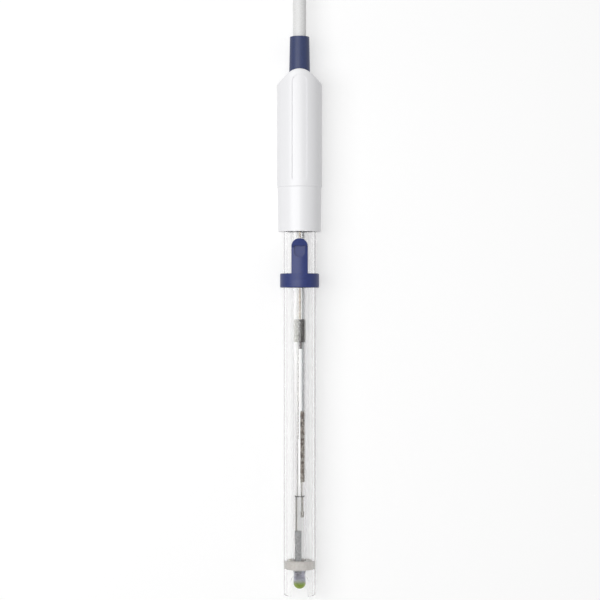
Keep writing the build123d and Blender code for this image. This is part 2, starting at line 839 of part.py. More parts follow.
with BuildPart() as sensor_leg:
    with BuildLine() as sensor_leg_path:
        FilletPolyline(*sensor_leg_points, radius=sensor_leg_radii)
    with BuildSketch(Plane(origin=sensor_leg_points[0], z_dir=(0, 1, 0))):
        Circle(leg_radius)
    sweep(path=sensor_leg_path.line)
print_route("sensor_leg", sensor_leg_points, sensor_leg_radii, sensor_leg.part, leg_diameter)
sensor_leg.part.label = "sensor_leg"
export_step(sensor_leg.part, "parts/sensor_leg.step")

# The bayonet plug on the electrode's leg
body_start = plug_line + boot_length
neck_start = body_start + body_length
snap_ring_start = neck_start + neck_length
body_front = snap_ring_start + snap_ring_length
bayonet_axis = Axis((bayonet_x, plug_line, bayonet_height), (0, 1, 0))


def bayonet_station(place):
    """A plane across the bayonet plug's axis, facing away from the electrode."""
    return Plane(origin=(bayonet_x, place, bayonet_height), x_dir=(1, 0, 0), z_dir=(0, 1, 0))


with BuildPart() as bayonet_boot:
    with BuildSketch(bayonet_station(plug_line)):
        Circle(boot_end_diameter / 2)
    with BuildSketch(bayonet_station(body_start)):
        Circle(body_diameter / 2)
    loft()
    with BuildSketch(bayonet_station(plug_line)):
        Circle(leg_radius)
    extrude(amount=leg_seat, mode=Mode.SUBTRACT)
    with BuildSketch(bayonet_station(plug_line)):
        Circle(core_wire_diameter / 2)
    extrude(amount=boot_length, mode=Mode.SUBTRACT)
bayonet_boot.part.label = "bayonet_boot"
export_step(bayonet_boot.part, "parts/bayonet_boot.step")

with BuildPart() as bayonet_core:
    with BuildSketch(bayonet_station(leg_end)):
        Circle(core_wire_diameter / 2)
    extrude(amount=core_wire_end - leg_seat)
bayonet_core.part.label = "bayonet_core"
export_step(bayonet_core.part, "parts/bayonet_core.step")

# The body, turned in one with its neck and its springy outer contact
with BuildPart() as bayonet_body:
    with BuildSketch(bayonet_station(body_start)):
        Circle(body_diameter / 2)
    extrude(amount=body_length)
    with BuildSketch(bayonet_station(neck_start)):
        Circle(neck_diameter / 2)
    extrude(amount=neck_length + snap_ring_length)
    with BuildSketch(bayonet_station(body_front)):
        Circle(contact_sleeve_diameter / 2)
        Circle(contact_sleeve_diameter / 2 - contact_sleeve_wall, mode=Mode.SUBTRACT)
    extrude(amount=contact_sleeve_length)
    with BuildSketch(bayonet_station(body_start)):
        Circle(body_bore_diameter / 2)
    extrude(amount=body_front - body_start, mode=Mode.SUBTRACT)
    with BuildSketch(bayonet_station(body_front + insulator_length)):
        with PolarLocations(0, contact_sleeve_slits // 2, angular_range=180):
            Rectangle(2 * contact_sleeve_diameter, contact_slit_width)
    extrude(amount=contact_sleeve_length, mode=Mode.SUBTRACT)
bayonet_body.part.label = "bayonet_body"
export_step(bayonet_body.part, "parts/bayonet_body.step")

# The insulator with its shank through the body, and the pin that it holds in the middle
pin_start = plug_line + core_wire_end
with BuildPart() as bayonet_insulator:
    with BuildSketch(bayonet_station(body_start)):
        Circle(body_bore_diameter / 2)
    extrude(amount=body_front - body_start)
    with BuildSketch(bayonet_station(body_front)):
        Circle(contact_sleeve_diameter / 2 - contact_sleeve_wall)
    extrude(amount=insulator_length)
    with BuildSketch(bayonet_station(body_start)):
        Circle(core_wire_diameter / 2)
    extrude(amount=pin_start - body_start, mode=Mode.SUBTRACT)
    with BuildSketch(bayonet_station(pin_start)):
        Circle(contact_pin_diameter / 2)
    extrude(amount=contact_pin_length, mode=Mode.SUBTRACT)
bayonet_insulator.part.label = "bayonet_insulator"
export_step(bayonet_insulator.part, "parts/bayonet_insulator.step")

with BuildPart() as bayonet_pin:
    with BuildSketch(bayonet_station(pin_start)):
        Circle(contact_pin_diameter / 2)
    extrude(amount=contact_pin_length)
    fillet(bayonet_pin.edges().sort_by(Axis.Y)[-1], contact_pin_diameter / 3)
bayonet_pin.part.label = "bayonet_pin"
export_step(bayonet_pin.part, "parts/bayonet_pin.step")

# The snap ring that keeps the collar nut on the neck
with BuildPart() as collar_snap_ring:
    with BuildSketch(bayonet_station(snap_ring_start)):
        Circle(snap_ring_diameter / 2)
        Circle(neck_diameter / 2, mode=Mode.SUBTRACT)
    extrude(amount=snap_ring_length)
collar_snap_ring.part.label = "collar_snap_ring"
export_step(collar_snap_ring.part, "parts/collar_snap_ring.step")

# The collar nut turns freely on the neck, and its two helical slots pull it over the socket's lugs
collar_start = neck_start + collar_axial_play
collar_front = collar_start + collar_nut_length
barrel_start = collar_start + collar_grip_length
slot_rise = collar_front - lug_slot_place - barrel_start
slot_entry = (collar_front - barrel_start) - slot_rise
slot_radius = (collar_nut_bore + collar_barrel_diameter) / 4
slot_centre = Vector(bayonet_x, collar_front - slot_entry, bayonet_height)
slot_helix = Helix(
    pitch=slot_rise * 360 / lug_slot_turn,
    height=slot_rise,
    radius=slot_radius,
    center=slot_centre,
    direction=(0, -1, 0),
)
slot_outward = (slot_helix @ 0 - slot_centre).normalized()
with BuildPart() as lug_slot:
    with BuildSketch(Plane(origin=slot_helix @ 0, x_dir=slot_outward, z_dir=slot_helix % 0)):
        Rectangle(collar_nut_bore / 2, lug_slot_width)
    sweep(path=slot_helix, is_frenet=True)
    with BuildSketch(Plane(origin=slot_helix @ 0, x_dir=slot_outward, z_dir=(0, 1, 0))):
        Rectangle(collar_nut_bore / 2, lug_slot_width)
    extrude(amount=2 * slot_entry)
    for slot_end in (slot_helix @ 0, slot_helix @ 1):
        slot_foot = Vector(bayonet_x, slot_end.Y, bayonet_height)
        with BuildSketch(Plane(origin=slot_foot, z_dir=slot_end - slot_foot)):
            Circle(lug_slot_width / 2)
        extrude(amount=collar_nut_diameter)
with BuildPart() as bayonet_collar:
    with BuildSketch(bayonet_station(collar_start)):
        Circle(collar_nut_diameter / 2)
        with PolarLocations(collar_nut_diameter / 2, collar_ribs):
            Rectangle(2 * collar_rib_depth, collar_rib_gap, mode=Mode.SUBTRACT)
    extrude(amount=collar_grip_length)
    with BuildSketch(bayonet_station(barrel_start)):
        Circle(collar_barrel_diameter / 2)
    extrude(amount=collar_front - barrel_start)
    with BuildSketch(bayonet_station(collar_start)):
        Circle(neck_diameter / 2 + collar_running_clearance)
    extrude(amount=collar_lip_length, mode=Mode.SUBTRACT)
    with BuildSketch(bayonet_station(collar_start + collar_lip_length)):
        Circle(collar_nut_bore / 2)
    extrude(amount=collar_nut_length, mode=Mode.SUBTRACT)
    for turn in (0, 180):
        add(lug_slot.part.rotate(bayonet_axis, turn), mode=Mode.SUBTRACT)
bayonet_collar.part.label = "bayonet_collar"
export_step(bayonet_collar.part, "parts/bayonet_collar.step")

# The phono plug on the temperature sensor's leg
phono_boot_front = plug_line + phono_boot_length
phono_shank_start = phono_boot_front + phono_grip_length - phono_shank_length
phono_face = phono_boot_front + phono_grip_length


def phono_station(place):
    """A plane across the phono plug's axis, facing away from the electrode."""
    return Plane(origin=(phono_x, place, phono_height), x_dir=(1, 0, 0), z_dir=(0, 1, 0))


with BuildPart() as phono_boot:
    with BuildSketch(phono_station(plug_line)):
        Circle(phono_boot_end_diameter / 2)
    with BuildSketch(phono_station(phono_boot_front)):
        Circle(phono_shank_diameter / 2)
    loft()
    with BuildSketch(phono_station(phono_boot_front)):
        Circle(phono_shank_diameter / 2)
    extrude(amount=phono_shank_start - phono_boot_front)
    with BuildSketch(phono_station(plug_line)):
        Circle(leg_radius)
    extrude(amount=leg_seat, mode=Mode.SUBTRACT)
    with BuildSketch(phono_station(plug_line)):
        Circle(core_wire_diameter / 2)
    extrude(amount=phono_shank_start - plug_line, mode=Mode.SUBTRACT)
phono_boot.part.label = "phono_boot"
export_step(phono_boot.part, "parts/phono_boot.step")

with BuildPart() as phono_core:
    with BuildSketch(phono_station(leg_end)):
        Circle(core_wire_diameter / 2)
    extrude(amount=phono_pin_start - leg_seat)
phono_core.part.label = "phono_core"
export_step(phono_core.part, "parts/phono_core.step")

# The grooved grip that covers the shank of the ring
with BuildPart() as phono_shell:
    with BuildSketch(phono_station(phono_boot_front)):
        Circle(phono_shell_diameter / 2)
        Circle(phono_shank_diameter / 2, mode=Mode.SUBTRACT)
    extrude(amount=phono_grip_length)
    for groove in range(phono_grip_grooves):
        groove_place = phono_boot_front + phono_grip_length * (groove + 1) / (phono_grip_grooves + 1)
        with BuildSketch(phono_station(groove_place - phono_grip_groove_depth)):
            Circle(phono_shell_diameter)
            Circle(phono_shell_diameter / 2 - phono_grip_groove_depth, mode=Mode.SUBTRACT)
        extrude(amount=2 * phono_grip_groove_depth, mode=Mode.SUBTRACT)
phono_shell.part.label = "phono_shell"
export_step(phono_shell.part, "parts/phono_shell.step")

# The ground ring on its shank, slit so that it grips the socket
with BuildPart() as phono_ring:
    with BuildSketch(phono_station(phono_shank_start)):
        Circle(phono_shank_diameter / 2)
    extrude(amount=phono_shank_length)
    with BuildSketch(phono_station(phono_face)):
        Circle(phono_ring_diameter / 2)
    extrude(amount=phono_ring_length)
    with BuildSketch(phono_station(phono_face + phono_ring_base)):
        Circle(phono_ring_diameter / 2 - phono_ring_wall)
    extrude(amount=phono_ring_length, mode=Mode.SUBTRACT)
    with BuildSketch(phono_station(phono_shank_start)):
        Circle(phono_shank_bore / 2)
    extrude(amount=phono_shank_length + phono_ring_base, mode=Mode.SUBTRACT)
    with BuildSketch(phono_station(phono_face + phono_ring_base + phono_insulator_length)):
        with PolarLocations(0, phono_ring_slits // 2, angular_range=180):
            Rectangle(2 * phono_ring_diameter, phono_slit_width)
    extrude(amount=phono_ring_length, mode=Mode.SUBTRACT)
phono_ring.part.label = "phono_ring"
export_step(phono_ring.part, "parts/phono_ring.step")

# The insulator inside the shank, and the middle pin
phono_pin_place = plug_line + phono_pin_start
phono_pin_front = phono_face + phono_pin_stand_out
phono_pin_shoulder = phono_face + phono_ring_base + phono_insulator_length
with BuildPart() as phono_insulator:
    with BuildSketch(phono_station(phono_shank_start)):
        Circle(phono_shank_bore / 2)
    extrude(amount=phono_shank_length + phono_ring_base)
    with BuildSketch(phono_station(phono_face + phono_ring_base)):
        Circle(phono_ring_diameter / 2 - phono_ring_wall)
    extrude(amount=phono_insulator_length)
    with BuildSketch(phono_station(phono_shank_start)):
        Circle(core_wire_diameter / 2)
    extrude(amount=phono_pin_place - phono_shank_start, mode=Mode.SUBTRACT)
    with BuildSketch(phono_station(phono_pin_place)):
        Circle(phono_pin_shank_diameter / 2)
    extrude(amount=phono_pin_front - phono_pin_place, mode=Mode.SUBTRACT)
phono_insulator.part.label = "phono_insulator"
export_step(phono_insulator.part, "parts/phono_insulator.step")

with BuildPart() as phono_pin:
    with BuildSketch(phono_station(phono_pin_place)):
        Circle(phono_pin_shank_diameter / 2)
    extrude(amount=phono_pin_shoulder - phono_pin_place)
    with BuildSketch(phono_station(phono_pin_shoulder)):
        Circle(phono_pin_diameter / 2)
    extrude(amount=phono_pin_front - phono_pin_shoulder)
    fillet(phono_pin.edges().sort_by(Axis.Y)[-1], phono_pin_diameter / 3)
phono_pin.part.label = "phono_pin"
export_step(phono_pin.part, "parts/phono_pin.step")
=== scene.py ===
import math

import bmesh
import bpy
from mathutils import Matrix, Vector


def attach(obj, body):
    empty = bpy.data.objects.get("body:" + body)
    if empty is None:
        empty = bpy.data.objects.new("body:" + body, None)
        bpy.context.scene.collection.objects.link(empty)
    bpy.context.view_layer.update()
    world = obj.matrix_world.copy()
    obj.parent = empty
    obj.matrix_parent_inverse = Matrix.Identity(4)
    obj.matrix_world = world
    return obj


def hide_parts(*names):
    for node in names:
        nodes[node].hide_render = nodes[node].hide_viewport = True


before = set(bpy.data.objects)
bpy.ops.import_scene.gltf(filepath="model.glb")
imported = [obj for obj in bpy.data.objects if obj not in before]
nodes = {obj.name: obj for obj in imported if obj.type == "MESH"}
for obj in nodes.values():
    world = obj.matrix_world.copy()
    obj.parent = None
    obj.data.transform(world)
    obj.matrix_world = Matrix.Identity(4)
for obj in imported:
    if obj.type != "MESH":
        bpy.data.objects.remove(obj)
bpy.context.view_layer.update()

MM = 0.001

# Places along the electrode are distances from its tip, in millimetres
TIP_Y = -106.15
AXIS_Z = 8.6


def along(distance):
    """The Y of a place on the electrode, in metres."""
    return (TIP_Y + distance) * MM


def metres(point):
    """A point in millimetres as one in metres."""
    return tuple(value * MM for value in point)


# The camera looks straight down on the lying electrode, with its tip at the bottom of the picture
CAMERA_HEIGHT = 600.0
CAMERA_PLACE = (0.15, 6.05)
FRAME_WIDTH = 228.6
SENSOR = 36.0

camera_data = bpy.data.cameras.new("photo_camera")
camera = bpy.data.objects.new("photo_camera", camera_data)
bpy.context.scene.collection.objects.link(camera)
camera.location = metres((*CAMERA_PLACE, AXIS_Z + CAMERA_HEIGHT))
camera_data.sensor_width = SENSOR
camera_data.lens = SENSOR * CAMERA_HEIGHT / FRAME_WIDTH
camera_data.clip_start = 0.01
bpy.context.scene.camera = camera
bpy.context.scene.view_settings.view_transform = "Standard"


# Materials: a small function adds a node with its settings and links
def linear(hex_code):
    """An sRGB hex colour as linear values with alpha."""
    values = [int(hex_code[i : i + 2], 16) / 255 for i in (1, 3, 5)]
    bent = [v / 12.92 if v <= 0.04045 else ((v + 0.055) / 1.055) ** 2.4 for v in values]
    return (*bent, 1.0)


def node(tree, kind, links=None, **settings):
    """Adds a node.

    settings go to its sockets or its own values, and links join other nodes' outputs to it.
    """
    made = tree.nodes.new("ShaderNode" + kind)
    for name, value in settings.items():
        spaced = name.replace("_", " ")
        socket = made.inputs.get(spaced.title()) or made.inputs.get(spaced)
        if socket is None:
            setattr(made, name, value)
        else:
            socket.default_value = value
    for name, output in (links or {}).items():
        tree.links.new(output, made.inputs[name])
    return made


def material(name, colour, **shader):
    """A new material with its colour and shader settings. It gives the material and its shader."""
    made = bpy.data.materials.new(name)
    made.use_nodes = True
    principled = made.node_tree.nodes["Principled BSDF"]
    principled.inputs["Base Color"].default_value = linear(colour)
    for setting, value in shader.items():
        principled.inputs[setting.replace("_", " ")].default_value = value
    return made, principled


GRAIN_DETAIL = 3.0
GRAIN_STRENGTH = 0.6
GRAIN_LOW = 0.35
GRAIN_HIGH = 0.65


def rough_skin(made, principled, grain_mm, height_mm, low, high):
    """A fine moulded grain: it breaks the gloss up and roughens the skin a little."""
    tree = made.node_tree
    place = node(tree, "TexCoord")
    grain = node(
        tree,
        "TexNoise",
        {"Vector": place.outputs["Object"]},
        scale=1000 / grain_mm,
        detail=GRAIN_DETAIL,
    )
    gloss = node(
        tree,
        "MapRange",
        {"Value": grain.outputs["Fac"]},
        from_min=GRAIN_LOW,
        from_max=GRAIN_HIGH,
        to_min=low,
        to_max=high,
    )
    bump = node(
        tree,
        "Bump",
        {"Height": grain.outputs["Fac"]},
        strength=GRAIN_STRENGTH,
        distance=height_mm * MM,
    )
    tree.links.new(gloss.outputs["Result"], principled.inputs["Roughness"])
    tree.links.new(bump.outputs["Normal"], principled.inputs["Normal"])
    return grain


def ramped(made, principled, value, first, second, start=0.0, end=1.0):
    """Colours the skin from first to second as the value goes from start to end."""
    tree = made.node_tree
    ramp = node(tree, "ValToRGB", {"Fac": value})
    low, high = ramp.color_ramp.elements
    low.position = start
    low.color = linear(first)
    high.position = end
    high.color = linear(second)
    tree.links.new(ramp.outputs["Color"], principled.inputs["Base Color"])


def tinted(made, principled, pattern, first, second, start=0.4, end=0.6):
    """Colours the skin between two tints of the same stuff by a pattern."""
    ramped(made, principled, pattern.outputs["Fac"], first, second, start, end)


# Painted edge shade: where it starts and ends as a surface turns from face-on to edge-on
EDGE_BLEND = 0.5
EDGE_START = 0.55
EDGE_END = 0.97


def painted_edge_shade(made, principled, face_on, edge_on):
    """Painted shade: clear stuff is coloured darker where the eye passes along its wall, standing
    in for the grey wall bands that light and refraction give.
    """
    weight = node(made.node_tree, "LayerWeight", blend=EDGE_BLEND)
    ramped(
        made, principled, weight.outputs["Facing"], face_on, edge_on, EDGE_START, EDGE_END
    )


# Injection-moulded ABS in cool white, satin, with the faintest of grain
white_abs, white_abs_shader = material("abs_moulded_white", "#EDEDEF", Roughness=0.35, IOR=1.53)
rough_skin(white_abs, white_abs_shader, 0.35, 0.004, 0.30, 0.38)

# Moulded thermoplastic rubber in navy: a soft sheen, no mirror gloss
navy_rubber, navy_rubber_shader = material("tpe_rubber_navy", "#25325A", Roughness=0.5, IOR=1.5)
navy_grain = rough_skin(navy_rubber, navy_rubber_shader, 0.25, 0.004, 0.38, 0.50)
tinted(navy_rubber, navy_rubber_shader, navy_grain, "#222E55", "#293764")

# Moulded silicone rubber in blue, satin, that takes a bloom from handling
blue_silicone, blue_silicone_shader = material(
    "silicone_rubber_blue", "#28376F", Roughness=0.45, IOR=1.43
)
blue_grain = rough_skin(blue_silicone, blue_silicone_shader, 0.4, 0.004, 0.36, 0.48)
tinted(blue_silicone, blue_silicone_shader, blue_grain, "#222F66", "#293772")

# Extruded clear polysulfone: a glossy tube, hardly tinted
clear_psu, clear_psu_shader = material(
    "polysulfone_extruded_clear", "#FFFFFF", Roughness=0.0, IOR=1.30, Transmission_Weight=1.0
)
# Painted shade: the tube's walls are coloured grey-violet where they are seen edge-on
painted_edge_shade(clear_psu, clear_psu_shader, "#FFFFFF", "#726E76")

# Drawn borosilicate tube, clear and fire-polished
borosilicate, borosilicate_shader = material(
    "borosilicate_glass_drawn", "#FFFFFF", Roughness=0.0, IOR=1.25, Transmission_Weight=1.0
)
# Painted shade: the stem's walls are coloured grey where they are seen edge-on
painted_edge_shade(borosilicate, borosilicate_shader, "#FFFFFF", "#A3A39F")

# Lithium-silicate membrane glass, blown: pale grey at its neck, green-yellow round its dome
membrane_glass, membrane_shader = material(
    "membrane_glass_blown", "#C3D08E", Roughness=0.02, IOR=1.3, Transmission_Weight=0.8
)
membrane_tree = membrane_glass.node_tree
membrane_place = node(membrane_tree, "TexCoord")
membrane_axes = node(membrane_tree, "SeparateXYZ", {"Vector": membrane_place.outputs["Object"]})
DOME_TINT_END = 3.9
NECK_TINT_START = 5.2
membrane_run = node(
    membrane_tree,
    "MapRange",
    {"Value": membrane_axes.outputs["Y"]},
    from_min=along(DOME_TINT_END),
    from_max=along(NECK_TINT_START),
)
ramped(
    membrane_glass, membrane_shader, membrane_run.outputs["Result"], "#B3C56A", "#D2D2DC"
)

# Cast epoxy, beige, with a slightly wavy meniscus gloss
beige_epoxy, beige_epoxy_shader = material(
    "epoxy_cast_beige", "#DCD7D2", Roughness=0.4, IOR=1.3, Transmission_Weight=0.35
)
epoxy_grain = rough_skin(beige_epoxy, beige_epoxy_shader, 0.8, 0.01, 0.30, 0.42)
tinted(beige_epoxy, beige_epoxy_shader, epoxy_grain, "#DCD7D2", "#E5E1DD")

# Translucent silicone rubber stopper, grey-white, that shows the sleeve in it
stopper_rubber, stopper_shader = material(
    "silicone_rubber_translucent", "#DEDED8", Roughness=0.05, IOR=1.01, Transmission_Weight=0.97
)
stopper_grain = rough_skin(stopper_rubber, stopper_shader, 0.5, 0.004, 0.04, 0.08)
tinted(stopper_rubber, stopper_shader, stopper_grain, "#CFCFC8", "#DCDCD6")

# Heat-shrunk black sleeve, with a brown cast in the light
black_sleeve, black_sleeve_shader = material("heat_shrink_black", "#2C2429", Roughness=0.4)
sleeve_grain = rough_skin(black_sleeve, black_sleeve_shader, 0.5, 0.01, 0.32, 0.48)
tinted(black_sleeve, black_sleeve_shader, sleeve_grain, "#241D21", "#3A2F30")

# Drawn phosphor bronze wire with a dull skin
bronze, bronze_shader = material("phosphor_bronze_drawn", "#8C7F6C", Metallic=1.0, Roughness=0.35)
bronze_grain = rough_skin(bronze, bronze_shader, 0.3, 0.004, 0.28, 0.45)
tinted(bronze, bronze_shader, bronze_grain, "#85775F", "#9C9080")

# Grey fused tube that guides the reference wire
grey_tube, grey_tube_shader = material("capillary_tube_grey", "#A6A8AA", Roughness=0.25, IOR=1.5)
tube_grain = rough_skin(grey_tube, grey_tube_shader, 0.4, 0.004, 0.2, 0.3)
tinted(grey_tube, grey_tube_shader, tube_grain, "#9A9C9F", "#B4B6B8")

# Silver chloride grown on silver: matt, speckled brown and grey
chloride, chloride_shader = material("silver_chloride_speckled", "#6B5A4C", Roughness=0.8)
chloride_grain = rough_skin(chloride, chloride_shader, 0.9, 0.05, 0.7, 0.9)
tinted(chloride, chloride_shader, chloride_grain, "#4E3D33", "#9B958C", 0.42, 0.58)

# Drawn silver wire, dulled
silver, silver_shader = material("silver_wire_drawn", "#8E8B86", Metallic=1.0, Roughness=0.35)
silver_grain = rough_skin(silver, silver_shader, 0.3, 0.004, 0.28, 0.4)
tinted(silver, silver_shader, silver_grain, "#7F7C78", "#A3A09A")

# Porous alumina, off-white and chalky
alumina, alumina_shader = material("alumina_porous", "#DCD8CC", Roughness=0.9)
alumina_grain = rough_skin(alumina, alumina_shader, 0.2, 0.01, 0.8, 0.95)
tinted(alumina, alumina_shader, alumina_grain, "#D2CDC0", "#E4E1D8")

# Nickel-plated brass, turned: bright, with a fine grain
nickel, nickel_shader = material(
    "nickel_plated_brass_turned", "#C9C7C2", Metallic=1.0, Roughness=0.22
)
rough_skin(nickel, nickel_shader, 0.25, 0.003, 0.16, 0.28)

# Gold plate over brass
gold, gold_shader = material("gold_plated_pin", "#D9B765", Metallic=1.0, Roughness=0.2)
rough_skin(gold, gold_shader, 0.2, 0.002, 0.15, 0.25)

# Turned PTFE, waxy white
ptfe, ptfe_shader = material("ptfe_turned", "#E9E9E5", Roughness=0.5, IOR=1.35)
rough_skin(ptfe, ptfe_shader, 0.3, 0.004, 0.42, 0.55)

# Bare copper
copper, copper_shader = material("copper_wire_bare", "#C08058", Metallic=1.0, Roughness=0.3)
rough_skin(copper, copper_shader, 0.2, 0.003, 0.25, 0.4)

# Extruded PVC jacket of the cable, off-white with a dull sheen
jacket, jacket_shader = material("pvc_jacket_extruded", "#E4E4E3", Roughness=0.45, IOR=1.52)
jacket_grain = rough_skin(jacket, jacket_shader, 0.5, 0.008, 0.38, 0.5)
tinted(jacket, jacket_shader, jacket_grain, "#E0E0DF", "#E8E8E8")

# Moulded black PVC of the splitter, the boots and the tie
black_pvc, black_pvc_shader = material("pvc_moulded_black", "#1C1D20", Roughness=0.5, IOR=1.52)
black_grain = rough_skin(black_pvc, black_pvc_shader, 0.3, 0.01, 0.42, 0.58)
tinted(black_pvc, black_pvc_shader, black_grain, "#191A1D", "#232428")

# Sealed glass of the temperature sensor's capsule, greyed by the element in it
capsule_glass, capsule_shader = material("sensor_glass_dark", "#B4B4B4", Roughness=0.12, IOR=1.5)
capsule_grain = rough_skin(capsule_glass, capsule_shader, 0.8, 0.005, 0.08, 0.2)
tinted(capsule_glass, capsule_shader, capsule_grain, "#AAAAAC", "#C6C6C8")

finishes = {
    "shaft_tube": clear_psu,
    "bottom_seal": beige_epoxy,
    "ceramic_junction": alumina,
    "glass_stem": borosilicate,
    "membrane_bulb": membrane_glass,
    "sensor_capsule": capsule_glass,
    "sensor_leads": silver,
    "silver_lead_off": silver,
    "reference_element": chloride,
    "capillary_tube": grey_tube,
    "black_sleeve": black_sleeve,
    "silicone_stopper": stopper_rubber,
    "bronze_lead": bronze,
    "reference_wire": silver,
    "chamber_plug": beige_epoxy,
    "head_collar": white_abs,
    "head_cap": white_abs,
    "strain_relief": navy_rubber,
    "crimp_ferrules": nickel,
    "cable_cores": copper,
    "head_potting": beige_epoxy,
    "refill_cover": blue_silicone,
    "cable_splitter": black_pvc,
    "hank_tie": black_pvc,
    "bayonet_boot": black_pvc,
    "bayonet_core": copper,
    "bayonet_body": nickel,
    "bayonet_insulator": ptfe,
    "bayonet_pin": gold,
    "bayonet_collar": nickel,
    "collar_snap_ring": nickel,
    "phono_boot": black_pvc,
    "phono_core": copper,
    "phono_shell": black_pvc,
    "phono_ring": nickel,
    "phono_insulator": ptfe,
    "phono_pin": nickel,
}
for name, finish in finishes.items():
    mesh = nodes[name].data
    mesh.materials.clear()
    mesh.materials.append(finish)


# The cords: each is one open smooth line along the points of its route
CORD_STEPS = 8
CORD_ROUNDNESS = 6


def cord_line(name, points, diameter, finish):
    """A round cord along the points, which are in metres."""
    curve = bpy.data.curves.new(name, "CURVE")
    curve.dimensions = "3D"
    spline = curve.splines.new("NURBS")
    spline.points.add(len(points) - 1)
    for control, point in zip(spline.points, points):
        control.co = (*point, 1.0)
    spline.order_u = 3
    spline.use_endpoint_u = True
    curve.resolution_u = CORD_STEPS
    curve.bevel_depth = diameter / 2
    curve.bevel_resolution = CORD_ROUNDNESS
    curve.use_fill_caps = True
    curve.materials.append(finish)
    made = bpy.data.objects.new(name, curve)
    bpy.context.scene.collection.objects.link(made)
    return made


def curve_length(points, steps=24):
    """The length of the smooth line of order 3 through the points."""
    total = 0.0
    ends = [Vector(points[0])] + [
        (Vector(a) + Vector(b)) / 2 for a, b in zip(points[1:-2], points[2:-1])
    ]
    ends.append(Vector(points[-1]))
    for start, corner, end in zip(ends, [Vector(p) for p in points[1:-1]], ends[1:]):
        before = start
        for step in range(1, steps + 1):
            t = step / steps
            here = start * (1 - t) ** 2 + corner * 2 * t * (1 - t) + end * t**2
            total += (here - before).length
            before = here
    return total


# Sizes of the cords and the hank, in millimetres. The hank lies on its tie, above the floor
CABLE = 5.0
LEG = 3.0
HANK_FLOOR = 0.8
HANK_START = 152.0
HANK_RUN = 100.0
HANK_FOLD = 15.0
HANK_X = 9.0
HANK_TURNS = 3
FOLD_STEPS = 8
FOLD_INSET = 3.0
FOLD_END = 27.0
WAIST = CABLE / 2
WAIST_END = 7.0
HANK_MIDDLE = HANK_START + HANK_RUN / 2
TOP_LAYER = HANK_FLOOR + (HANK_TURNS + 0.5) * CABLE
SPLITTER_X = 9.0
SPLITTER_PLACE = 249.0
SPLITTER_SEAT = 1.0
SPLITTER_HEIGHT = 6.5
SPLITTER_Z = HANK_FLOOR + HANK_TURNS * CABLE + SPLITTER_HEIGHT / 2

# The first stretch leaves the head and runs down to the hank
lead_route = [
    (0.0, 76.75, 8.6),
    (0.0, 100.0, 8.6),
    (0.0, 131.0, 8.6),
    (-3.4, 144.0, 4.6),
    (-5.6, 155.0, 3.3),
]


def fold(centre_y, start_angle, low, high):
    """The corners round one fold of the hank, clockwise from above, from height low to high."""
    step = math.pi / FOLD_STEPS
    reach = HANK_FOLD / math.cos(step / 2)
    corners = []
    for number in range(FOLD_STEPS):
        angle = start_angle - step * (number + 0.5)
        rise = (number + 0.5) / FOLD_STEPS
        corners.append(
            (
                HANK_X + reach * math.cos(angle),
                centre_y + reach * math.sin(angle),
                low + (high - low) * rise,
            )
        )
    return corners


def hank_route():
    """The turns of the hank.

    Each goes up its left side, round the far fold, down its right side and round the near fold,
    where it climbs by one cable onto the turn below.
    """
    points = []
    left = HANK_X - HANK_FOLD + FOLD_INSET
    right = HANK_X + HANK_FOLD - FOLD_INSET
    middle = HANK_MIDDLE
    far = HANK_START + HANK_RUN
    for turn in range(HANK_TURNS):
        z = HANK_FLOOR + CABLE * (turn + 0.5)
        points += [
            (left, middle - FOLD_END, z),
            (HANK_X - WAIST, middle - WAIST_END, z),
            (HANK_X - WAIST, middle + WAIST_END, z),
            (left, middle + FOLD_END, z),
        ]
        points += fold(far, math.pi, z, z)
        points += [
            (right, middle + FOLD_END, z),
            (HANK_X + WAIST, middle + WAIST_END, z),
            (HANK_X + WAIST, middle - WAIST_END, z),
            (right, middle - FOLD_END, z),
        ]
        points += fold(HANK_START, 0.0, z, z + CABLE)
    return points


# The last stretch lies on the hank and ends in the splitter
tail_route = [
    (HANK_X - HANK_FOLD + FOLD_INSET, HANK_MIDDLE - FOLD_END, TOP_LAYER),
    (HANK_X - WAIST, HANK_MIDDLE - WAIST_END, TOP_LAYER),
    (HANK_X - WAIST, HANK_MIDDLE + WAIST_END, TOP_LAYER),
    (7.6, 226.0, TOP_LAYER + 0.1),
    (SPLITTER_X, 238.0, SPLITTER_Z),
    (SPLITTER_X, SPLITTER_PLACE + SPLITTER_SEAT, SPLITTER_Z),
]
cable_points = [metres(p) for p in lead_route + hank_route() + tail_route]
cable = cord_line("signal_cable", cable_points, CABLE * MM, jacket)
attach(cable, "electrode")
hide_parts("cable_lead", "cable_hank", "cable_tail")

# The two legs past the splitter
ph_leg_route = [
    (6.5, 272.0, 19.05),
    (6.5, 282.0, 19.05),
    (4.9, 291.0, 15.6),
    (2.0, 299.0, 9.4),
    (1.0, 306.0, 7.25),
    (1.0, 318.0, 7.25),
]
sensor_leg_route = [
    (11.5, 272.0, 19.05),
    (11.5, 282.0, 19.05),
    (13.3, 291.0, 15.0),
    (17.2, 299.0, 8.0),
    (19.0, 306.6, 5.0),
    (19.0, 318.0, 5.0),
]
ph_leg_points = [metres(p) for p in ph_leg_route]
sensor_leg_points = [metres(p) for p in sensor_leg_route]
ph_leg = cord_line("ph_leg_cable", ph_leg_points, LEG * MM, jacket)
sensor_leg = cord_line("sensor_leg_cable", sensor_leg_points, LEG * MM, jacket)
for leg, replaced in ((ph_leg, "ph_leg"), (sensor_leg, "sensor_leg")):
    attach(leg, "electrode")
    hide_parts(replaced)

curve_length(cable_points)
curve_length(ph_leg_points)
curve_length(sensor_leg_points)

# Two pieces inside the glass stem: the sleeve seen through the stopper, and the buffer
MERGE_DISTANCE = 1e-6
SLEEVE_SWELL = 0.03


